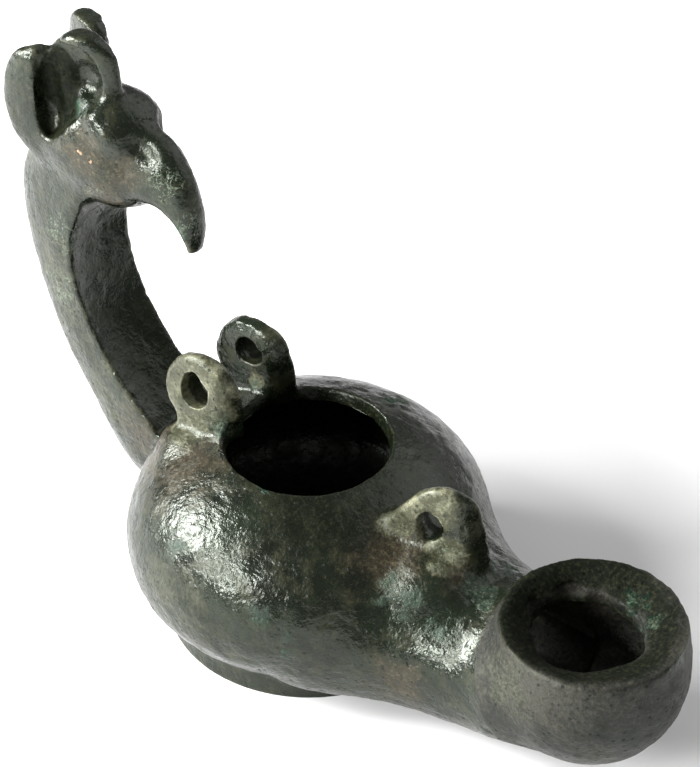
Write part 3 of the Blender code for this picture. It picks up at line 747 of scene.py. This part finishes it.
# where each finish lies: a sharpness, then places in millimetres, with a middle and a reach
# or three radii
finishes = {
    "pale": (1.8, [((-18, -9, 45.8), 11.7), ((-19.5, -10.5, 38), 7), ((30.2, -4.5, 40), 8.2),
                   ((33.8, -4.2, 32.5), 5.2), ((24.5, -6, 36.5), 5.5), ((-16.5, 4.5, 39.5), 2.8)]),
    "brown": (1.2, [((26, -9, 31), 12), ((-14, -16.5, 34.5), 14), ((-26, -14, 31), 13),
                    ((-35, -7.7, 25.5), 9), ((-42.5, -8, 81.8), 9), ((-35, -7.5, 79), 8),
                    ((66, -16, 20), 13), ((36.5, -4, 30), 4.5), ((-40, -6, 74), 7),
                    ((35, -18, 13), 9)]),
    # painted light: a pale coat on the strap, the bowl's lower left, the cup and the front lug, mostly
    # where they face the key light
    "paintedLight": (1.1, [((-52, -8.5, 50), (13, 5, 26)), ((-43, -8.5, 30), (14, 5, 16)),
                    ((-5, -30, 20), (16, 9, 14)), ((-26, -21, 18), (11, 11, 13)),
                    ((35, -1, 37.5), (6.5, 6.5, 8.5)), ((55, -15.5, 24), (11, 8, 11))]),
    "teal": (1.4, [((13.8, -28, 24.5), 5), ((18.7, -26.5, 20.5), 3.4), ((18.2, -27.3, 16.5), 3.2),
                   ((-46, -5, 89), 5), ((-20.1, 4.6, 39), 5), ((-15.8, 4.5, 38), 3.5),
                   ((31, -12.5, 26.5), 10), ((38, -10.5, 24), 8), ((-52.5, -7.6, 63), 4),
                   ((-49, -6, 60), 3), ((-12.8, -9.5, 41.5), 4.5), ((3, -14.5, 37), 2.2),
                   ((-26.5, -3, 70), 5), ((-5, -27, 27), 8)]),
    "crust": (1.6, [((38.5, 5.2, 26.3), 6.5), ((40.2, -2.8, 26.8), 6), ((63, 10, 29), 5),
                    ((68, 8.5, 27.5), 5.5), ((-12.8, -9, 38.5), 4), ((-18.5, 4.5, 50), 3),
                    ((3, 21, 35), 6), ((-51, 6, 97), 5)]),
    "threads": (1.6, [((-28, -3.2, 80), 6), ((-42, -7.4, 74.2), 4), ((-50, -7.6, 62), 8),
                      ((-52, -7.6, 49), 8), ((-24.5, -1.5, 72), 5), ((34, -5, 33), 6)]),
    "sooty": (6.0, [((61, 0, 21.5), (19, 22.5, 23))]),
    # painted shade: black and olive with dulled gloss inside the chamber, cup, channel and lug holes,
    # in the ear hollow and over the dished rim
    "hollowShade": (5.0, [((0, 0, 18.5), (31.5, 31.5, 17.8)), ((0, 0, 16.5), (32.5, 32.5, 20)),
                   ((59.2, 0, 21.5), (12.8, 12.8, 10.5)), ((60, 0, 33), (18.5, 18, 7)),
                   ((33, 0, 16), (25, 8.5, 8.5)), ((-51.5, -3.8, 92), (4.6, 3.4, 7.8)),
                   ((-18, -6.2, 44.4), (4.2, 3.2, 5.6)), ((-17.8, 8.4, 44.6), (4.4, 3.4, 4.2)),
                   ((30, -0.4, 36.2), (3.6, 2.8, 4.6))]),
    "shade": (1.8, [((12, -7, 36), (19, 17, 8)), ((6, 21, 34), (36, 22, 18)),
                    ((-40, 1, 36), (15, 9, 18))]),
}


def writeShare(mesh, name, values):
    mesh.attributes.new(name, "FLOAT", "POINT").data.foreach_set("value", np.clip(values, 0.0, 1.0))


def markFinishes(mesh):
    points = 1000 * readPoints(mesh)
    for name, (sharpness, places) in finishes.items():
        share = np.zeros(len(points))
        for middle, reach in places:
            distance = np.linalg.norm((points - np.array(middle)) / np.array(reach), axis=1)
            share = np.maximum(share, sharpness * (1 - distance))
        writeShare(mesh, name, share)


def markEdges(mesh):  # worn where the skin is proud, deep where it is hollow
    points = readPoints(mesh)
    ends = np.empty(2 * len(mesh.edges), dtype=np.int32)
    mesh.edges.foreach_get("vertices", ends)
    first, second = ends.reshape(-1, 2).T
    counts = np.bincount(ends, minlength=len(points))[:, None]
    normals = np.empty(3 * len(points))
    mesh.vertex_normals.foreach_get("vector", normals)

    def gathered(values):  # each point's neighbours added up
        total = np.zeros_like(values)
        np.add.at(total, first, values[second])
        np.add.at(total, second, values[first])
        return total

    proud = ((points - gathered(points) / counts) * normals.reshape(-1, 3)).sum(axis=1)[:, None]
    for index in range(casting["evening"]):  # evened out among neighbours
        proud = (proud + gathered(proud) / counts) / 2
    writeShare(mesh, "worn", proud[:, 0] / casting["proudest"])
    writeShare(mesh, "deep", -proud[:, 0] / casting["proudest"])


# dents and pits pressed into the skin; each has a size and a depth
skin = {"Dent Size": 0.0085, "Dent Depth": 0.00024, "Dimple Size": 0.003, "Dimple Depth": 0.00013,
        "Pit Size": 0.0016, "Pit Depth": 0.00016, "Crust Size": 0.0016, "Crust Depth": 0.0003,
        "Clear From": 0.0003, "Clear To": 0.0015, "Seed": 7.0}
# the detail of each and the range over which it deepens
skinEdges = {"Dent": (2.0, 0.3, 0.7), "Dimple": (2.0, 0.35, 0.7), "Pit": (2.0, 0.56, 0.72),
             "Crust": (3.0, 0.4, 0.6)}


def castSkinTree():
    tree = Tree(bpy.data.node_groups.new("castSkin", "GeometryNodeTree"))
    tree.output("Geometry", "NodeSocketGeometry")
    tree.input("Geometry", "NodeSocketGeometry")
    for name, size in skin.items():
        tree.input(name, "NodeSocketFloat", size)
    given = tree.node("NodeGroupInput").outputs
    place = tree.node("GeometryNodeInputPosition").outputs[0]
    height = tree.node("ShaderNodeSeparateXYZ", Vector=place).outputs["Z"]
    clearOfFloor = tree.between(height, given["Clear From"], given["Clear To"])

    def pressedIn(name):  # a share of full depth
        detail, low, high = skinEdges[name]
        size = tree.math("DIVIDE", 1.0, given[name + " Size"])
        return tree.between(tree.noise(place, size, detail, seed=given["Seed"]), low, high)

    depth = 0.0
    for name in ("Dent", "Dimple", "Pit"):
        depth = tree.math("MULTIPLY_ADD", pressedIn(name), given[name + " Depth"], depth)
    crust = tree.node("GeometryNodeInputNamedAttribute", {"data_type": "FLOAT"}, Name="crust")
    eaten = tree.times(pressedIn("Crust"), crust.outputs[0], given["Crust Depth"])
    depth = tree.times(tree.math("ADD", depth, eaten), clearOfFloor)
    inwards = tree.node("ShaderNodeVectorMath", {"operation": "SCALE"},
                        Vector=tree.node("GeometryNodeInputNormal").outputs[0],
                        Scale=tree.times(depth, -1.0)).outputs[0]
    pressed = tree.node("GeometryNodeSetPosition", Geometry=given["Geometry"], Offset=inwards)
    real = tree.node("GeometryNodeRealizeInstances", Geometry=pressed.outputs[0])
    finish = tree.node("GeometryNodeSetMaterial", Geometry=real.outputs[0], Material=bronze)
    tree.node("NodeGroupOutput", Geometry=finish.outputs[0])
    return tree


patina = {
    "black": (0.0028, 0.0042, 0.002), "green": (0.0064, 0.01, 0.005),
    "olive": (0.019, 0.0205, 0.0092), "brown": (0.023, 0.0165, 0.009),
    "tan": (0.078, 0.064, 0.038), "pale": (0.038, 0.038, 0.019), "cream": (0.2, 0.2, 0.13),
    "teal": (0.005, 0.028, 0.0165), "mint": (0.036, 0.1, 0.064), "soot": (0.0036, 0.0036, 0.0034),
    "ash": (0.031, 0.028, 0.022), "chalk": (0.13, 0.165, 0.115), "metal": (0.1, 0.102, 0.068),
    # the pale colour of the painted light
    "paintedLight": (0.062, 0.064, 0.044), "pitDark": (0.0015, 0.002, 0.0012),
    "copper": (0.3, 0.19, 0.11),
}

# each noise: scale, detail, roughness and distortion
textures = {
    "clouds": (75.0, 4.0, 0.6, 0.4), "wander": (260.0, 7.0, 0.66), "curls": (620.0, 3.0, 0.6, 0.8),
    "flecks": (1300.0, 5.0, 0.7), "grains": (3800.0, 2.0, 0.6),
    "swells": (480.0, 3.0, 0.6), "ripples": (1500.0, 2.0, 0.6),
}

# each finish's edge: where it starts, where it is full, and how far it wavers
edges = {
    "pale": (0.35, 0.75, 1.8), "brown": (0.3, 1.0, 2.2), "paintedLight": (0.3, 1.0, 2.0),
    "teal": (0.7, 1.5, 3.4), "crust": (0.7, 1.4, 3.4), "sooty": (0.4, 0.6, 0.5),
    "hollowShade": (0.3, 0.9, 0.9), "shade": (0.1, 1.1, 1.2), "worn": (0.3, 0.8, 0.9),
    "deep": (0.25, 0.8, 0.5), "threads": (0.6, 1.0, 2.5),
}

# the bare patina over black: a noise, its range, the most it covers, and a colour
stains = [("clouds", 0.36, 0.64, 1.0, "green"), ("wander", 0.46, 0.66, 0.8, "olive"),
          ("flecks", 0.56, 0.7, 0.4, "tan")]

# finishes over it, from the lowest: the most each covers, its colour, and for a mottled one
# a second colour, a noise and its range
coats = [
    ("brown", 0.8, "brown", "tan", "flecks", 0.46, 0.68),
    ("sooty", 1.0, "soot", "ash", "coal", 0.42, 0.58),
    # painted light: a pale coat, mottled with olive, where the sides face the key light
    ("paintedLight", 0.6, "olive", "paintedLight", "flecks", 0.4, 0.6),
    ("worn", 0.6, "metal"),
    ("pale", 0.86, "pale", "cream", "horn", 0.44, 0.68),
    # painted shade: black and olive over the shaded hollows and the shaded outer places
    ("paintedShade", 0.9, "black", "olive", "flecks", 0.46, 0.7),
    ("teal", 0.8, "teal", "mint", "flecks", 0.52, 0.7),
    ("crust", 0.85, "teal", "chalk", "flecks", 0.44, 0.64),
    ("threads", 0.8, "chalk"), ("deep", 0.75, "black"), ("pits", 0.7, "pitDark"),
    ("scratched", 1.0, "copper"), ("cracked", 1.0, "pitDark"),
]

# how far each share moves the roughness, the height in millimetres, and the gloss,
# which is dimmed where shade is painted, in the hollows and on shaded outer places
roughening = {"brown": 0.08, "pits": 0.25, "pale": 0.14, "teal": 0.08, "crust": 0.35, "sooty": 0.3,
              "deep": 0.15, "hollowShade": 0.2, "paintedLight": 0.04, "cracked": 0.5}
heights = {"swells": 0.25, "ripples": 0.11, "pits": -0.04, "flaked": 0.2, "cracked": -0.3,
           "threads": 0.06, "scratched": -0.05}
dulling = {"hollowShade": -0.34, "shade": -0.14}

# ranges of the finer marks
marks = {
    "roughness": (0.35, 0.65, 0.2, 0.34), "roughGrain": 0.16, "gloss": 0.44,
    "grainTone": (0.3, 0.7, 0.65, 1.35), "tint": (0.93, 1.0, 0.88, 1.0),
    "pitScale": 1000.0, "pitEdge": (0.15, 0.42), "pitsKept": (0.6, 0.8),
    "anyShare": (0.0, 0.15), "paintedShadeWeight": 0.8, "millimetre": 0.001,
    "threadEdge": (0.01, 0.024), "strokeEdge": (0.6, 1.2), "strokeNoise": 700.0, "strokeWaver": 0.0022,
}

# cracks and scratches: start, end and width
cracks = [((-0.013, -0.0098, 0.0455), (-0.013, -0.0097, 0.0384), 0.00022),
          ((-0.01, -0.0115, 0.0368), (-0.008, -0.013, 0.0369), 0.0004),
          ((-0.0446, -0.0072, 0.0866), (-0.0422, -0.0074, 0.086), 0.00035),
          ((0.0379, 0.0016, 0.0341), (0.0358, 0.0079, 0.0257), 0.00025),
          ((-0.036, -0.0015, 0.0886), (-0.0353, 0.002, 0.0876), 0.0002)]
scratches = [((-0.044, -0.0084, 0.0826), (-0.041, -0.008, 0.0813), 0.0003)]


def bronzePatina():
    material = bpy.data.materials.new("bronzePatina")
    material.use_nodes = True
    tree = Tree(material.node_tree)
    shader = material.node_tree.nodes["Principled BSDF"]
    place = tree.node("ShaderNodeTexCoord").outputs["Object"]
    shares = {name: tree.noise(place, *sizes) for name, sizes in textures.items()}

    def vector(operation, first, second):
        made = tree.node("ShaderNodeVectorMath", {"operation": operation}, i0=first, i1=second)
        return made.outputs["Value" if operation == "DOT_PRODUCT" else "Vector"]

    def scaled(value, size):
        made = tree.node("ShaderNodeVectorMath", {"operation": "SCALE"}, Vector=value, Scale=size)
        return made.outputs[0]

    def finish(name, low, high, waver):  # how much of a finish there is, with a ragged edge
        share = tree.node("ShaderNodeAttribute", {"attribute_name": name}).outputs["Fac"]
        ragged = tree.math("MULTIPLY_ADD", tree.math("SUBTRACT", shares["wander"], 0.5), waver, share)
        return tree.times(tree.between(ragged, low, high), tree.between(share, *marks["anyShare"]))

    def moved(value, changes):  # by each share as far as its change says
        for name, change in changes.items():
            value = tree.math("MULTIPLY_ADD", shares[name], change, value)
        return value

    jitter = tree.node("ShaderNodeTexNoise", Vector=place, Scale=marks["strokeNoise"]).outputs["Color"]
    crooked = scaled(vector("SUBTRACT", jitter, (0.5, 0.5, 0.5)), marks["strokeWaver"])

    def strokes(lines):  # crooked lines from their starts to their ends
        core, edge = marks["strokeEdge"]
        drawn = 0.0
        for start, end, width in lines:
            run = Vector(end) - Vector(start)
            along = vector("SUBTRACT", place, start)
            share = vector("DOT_PRODUCT", along, tuple(run / run.length_squared))
            nearest = scaled(tuple(run), tree.math("MULTIPLY", share, 1.0, clamp=True))
            aside = vector("ADD", vector("SUBTRACT", along, nearest), crooked)
            apart = tree.node("ShaderNodeVectorMath", {"operation": "LENGTH"}, Vector=aside)
            inked = tree.between(apart.outputs["Value"], width * core, width * edge, 1.0, 0.0)
            drawn = tree.math("MAXIMUM", inked, drawn)
        return drawn

    for name, edge in edges.items():
        shares[name] = finish(name, *edge)
    # painted shade, from the shaded hollows and the outer shade places
    shaded = tree.times(shares["shade"], marks["paintedShadeWeight"])
    shares["paintedShade"] = tree.math("MAXIMUM", shares["hollowShade"], shaded)
    shares["coal"] = moved(0.0, {"flecks": 0.5, "clouds": 0.5})
    shares["horn"] = moved(0.0, {"flecks": 0.4, "wander": 0.6, "worn": 0.28})
    flaking = tree.math("MAXIMUM", shares["crust"], shares["teal"])
    shares["flaked"] = tree.times(flaking, shares["flecks"])
    curl = tree.math("ABSOLUTE", tree.math("SUBTRACT", shares["curls"], 0.5))
    thread = tree.between(curl, *marks["threadEdge"], 1.0, 0.0)
    shares["threads"] = tree.times(shares["threads"], thread)
    cells = tree.node("ShaderNodeTexVoronoi", Vector=place, Scale=marks["pitScale"], Randomness=1.0)
    kept = tree.node("ShaderNodeSeparateColor", Color=cells.outputs["Color"]).outputs[0]
    pit = tree.between(cells.outputs["Distance"], *marks["pitEdge"], 1.0, 0.0)
    shares["pits"] = tree.times(pit, tree.between(kept, *marks["pitsKept"]))
    shares["cracked"], shares["scratched"] = strokes(cracks), strokes(scratches)

    def tone(name):
        return (*patina[name], 1.0)

    colour = tone("black")
    for name, low, high, most, stain in stains:
        covered = tree.times(tree.between(shares[name], low, high), most)
        colour = tree.mix(covered, colour, tone(stain))
    for name, most, first, *mottling in coats:
        coat = tone(first)
        if mottling:
            second, texture, low, high = mottling
            coat = tree.mix(tree.between(shares[texture], low, high), coat, tone(second))
        colour = tree.mix(tree.times(shares[name], most), colour, coat)
    colour = scaled(colour, tree.between(shares["grains"], *marks["grainTone"]))

    rough = moved(tree.between(shares["wander"], *marks["roughness"]), roughening)
    rough = tree.math("MULTIPLY_ADD", tree.math("SUBTRACT", shares["grains"], 0.5), marks["roughGrain"],
                      rough, clamp=True)
    raised = tree.node("ShaderNodeBump", Strength=1.0, Distance=marks["millimetre"],
                       Height=moved(0.0, heights))
    # the gloss is dimmed where shade is painted
    gloss = tree.math("MAXIMUM", moved(marks["gloss"], dulling), 0.0)
    tree.wire(shader, {"Base Color": colour, "Roughness": rough, "Specular IOR Level": gloss,
                       "Specular Tint": marks["tint"], "Normal": raised.outputs[0]})
    return material


markFinishes(lamp.data)
markEdges(lamp.data)
bronze = bronzePatina()
skinTree = castSkinTree()
pressed = lamp.modifiers.new("Cast skin", "NODES")
pressed.node_group = skinTree.group
for key, size in skin.items():
    pressed[skinTree.ids[key]] = size
settled(lamp)
print("skin pressed and patina laid")

lamp.data.materials.clear()
lamp.data.materials.append(bronze)
scene.collection.objects.link(lamp)
for form in list(workshop.objects):
    if form is not lamp:
        bpy.data.objects.remove(form)
workshop.objects.unlink(lamp)
bpy.data.collections.remove(workshop)
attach(lamp, "root")
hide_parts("lamp")
print("lamp placed")


studio = {
    "floorSize": 3.0, "floorColour": (0.9, 0.9, 0.9, 1.0), "floorRoughness": 0.9,
    "airColour": (1.0, 1.0, 1.0, 1.0), "airStrength": 0.3, "aim": (0.0, 0.0, 0.03),
    # each soft box: place, size and watts
    "boxes": {"keyLight": ((-0.6, -0.45, 0.46), 0.38, 20.0),
              "flankLight": ((-0.14, -0.68, 0.36), 0.2, 6.5),
              "fillLight": ((0.35, 0.9, 0.8), 1.2, 4.8)},
}


def makeFloor():
    work = bmesh.new()
    bmesh.ops.create_grid(work, x_segments=1, y_segments=1, size=studio["floorSize"] / 2)
    floor = addTo(scene.collection, "studioFloor", asMesh("studioFloor", work))
    material = bpy.data.materials.new("studioWhite")
    material.use_nodes = True
    shader = material.node_tree.nodes["Principled BSDF"]
    shader.inputs["Base Color"].default_value = studio["floorColour"]
    shader.inputs["Roughness"].default_value = studio["floorRoughness"]
    floor.data.materials.append(material)


def makeLights():
    world = bpy.data.worlds.new("studioAir")
    scene.world = world
    world.use_nodes = True
    air = world.node_tree.nodes["Background"]
    air.inputs["Color"].default_value = studio["airColour"]
    air.inputs["Strength"].default_value = studio["airStrength"]
    for name, (place, size, watts) in studio["boxes"].items():
        light = bpy.data.lights.new(name, "AREA")
        light.energy = watts
        light.size = size
        box = addTo(scene.collection, name, light)
        box.location = place
        box.rotation_euler = (Vector(studio["aim"]) - Vector(place)).to_track_quat("-Z", "Y").to_euler()
    scene.view_settings.view_transform = "Standard"


view = {"azimuth": -49.6, "elevation": 37.93, "roll": -0.34, "distance": 0.4023,
        "target": (0.00964, 0.0, 0.05416), "lens": 112.64, "sensor": 36.0,
        "nearest": 0.01, "farthest": 10.0}


def makeCamera():
    azimuth, elevation, roll = (math.radians(view[key]) for key in ("azimuth", "elevation", "roll"))
    back = Vector((math.cos(elevation) * math.cos(azimuth), math.cos(elevation) * math.sin(azimuth),
                   math.sin(elevation)))
    level = (-back).cross(Vector((0, 0, 1))).normalized()
    rise = level.cross(-back)
    right = math.cos(roll) * level + math.sin(roll) * rise
    up = math.cos(roll) * rise - math.sin(roll) * level
    lens = bpy.data.cameras.new("viewCamera")
    lens.lens = view["lens"]
    lens.sensor_width = view["sensor"]
    lens.clip_start = view["nearest"]
    lens.clip_end = view["farthest"]
    camera = addTo(scene.collection, "viewCamera", lens)
    turn = Matrix((right, up, back)).transposed().to_4x4()
    turn.translation = Vector(view["target"]) + view["distance"] * back
    camera.matrix_world = turn
    scene.camera = camera


makeFloor()
makeLights()
makeCamera()
print("studio set")
